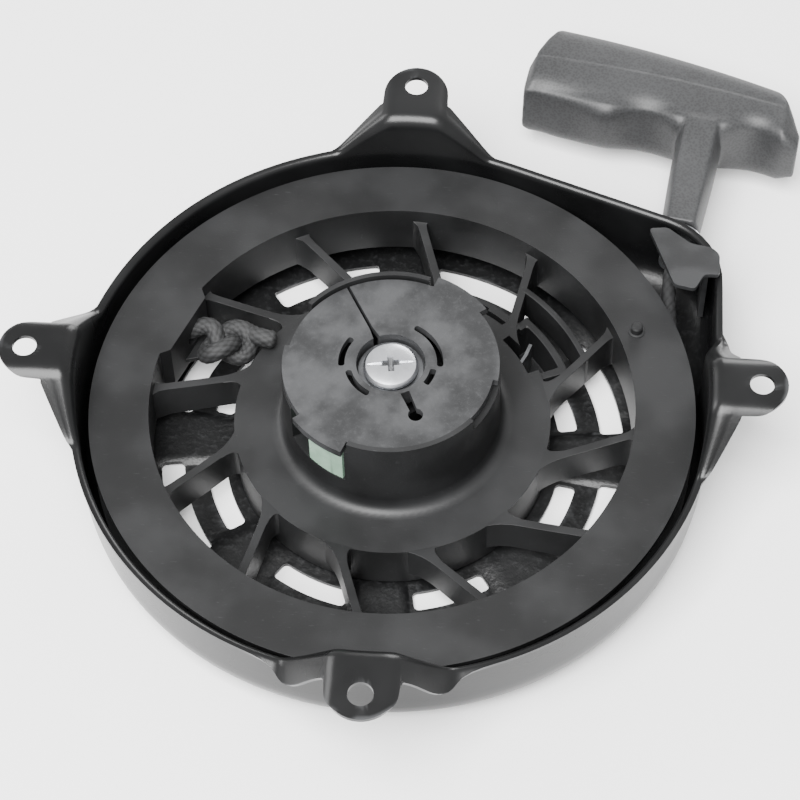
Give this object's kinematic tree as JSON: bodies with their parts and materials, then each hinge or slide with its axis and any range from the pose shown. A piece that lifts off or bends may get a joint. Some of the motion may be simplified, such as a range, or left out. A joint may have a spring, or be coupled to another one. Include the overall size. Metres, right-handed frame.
{
  "type": "recoil starter",
  "caption": "Pull-cord recoil starter of a small engine: pressed steel housing with four ears, spoked pulley, spring, pawls and a T grip on its rope",
  "frame": {"origin": "on the pulley's axis, in the plane of the housing's closed outer face", "axes": "+Z along the pulley's axis from the closed face towards the engine; +X from the axis to one mounting ear, +Y to the ear beside the rope's exit"},
  "size_m": [0.2283, 0.2574, 0.047],
  "materials": {
    "black_steel": "glossy black paint over pressed steel",
    "grey_steel": "dark grey pressed steel, satin",
    "spring_steel": "oiled blue-grey spring steel",
    "zinc": "bright zinc plate",
    "black_plastic": "satin black moulding",
    "grey_plastic": "mottled grey moulding",
    "green_plastic": "pale green moulding",
    "grip_plastic": "finely grained dark moulding",
    "braid": "black braided cord"
  },
  "bodies": {
    "housing": {"housing_shell": "black_steel", "centre_post": "spring_steel", "rope_guide": "grey_steel", "rope_eyelet": "zinc", "spring_cover": "grey_steel", "rope_run": "braid", "screw_washer": "zinc", "retainer_screw": "zinc", "friction_spring": "spring_steel"},
    "pulley": {"pulley": "black_plastic", "rope_winding": "braid", "rope_knot": "braid", "rewind_spring": "spring_steel"},
    "retainer": {"friction_plate": "grey_plastic"},
    "pawl_1": {"pawl_1": "green_plastic"},
    "pawl_2": {"pawl_2": "green_plastic"},
    "handle": {"grip": "grip_plastic", "grip_insert": "zinc", "grip_rope": "braid", "grip_knot": "braid"}
  },
  "joints": [
    {"name": "handle_pull", "type": "slide", "parent": "housing", "child": "handle", "axis": [0.1564, 0.9877, 0], "range_m": [0, 1.8], "stiffness_N_per_m": 2, "springref_m": -2.5},
    {"name": "pulley_spin", "type": "hinge", "parent": "housing", "child": "pulley", "pos_m": [0, 0, 0.01745], "axis": [0, 0, 1], "range_deg": [0, 1330]},
    {"name": "retainer_turn", "type": "hinge", "parent": "pulley", "child": "retainer", "pos_m": [0, 0, 0.0443], "axis": [0, 0, 1], "range_deg": [-26, 0]},
    {"name": "pawl_1_swing", "type": "hinge", "parent": "pulley", "child": "pawl_1", "pos_m": [-0.01874, -0.01264, 0.0355], "axis": [0, 0, 1], "range_deg": [-24, 0]},
    {"name": "pawl_2_swing", "type": "hinge", "parent": "pulley", "child": "pawl_2", "pos_m": [0.01874, 0.01264, 0.0355], "axis": [0, 0, 1], "range_deg": [-24, 0]}
  ],
  "couplings": [
    {"joint": "pulley_spin", "follows": "handle_pull", "rad_per_m": 12.87},
    {"joint": "pawl_1_swing", "follows": "retainer_turn", "ratio": 0.9},
    {"joint": "pawl_2_swing", "follows": "retainer_turn", "ratio": 0.9}
  ]
}
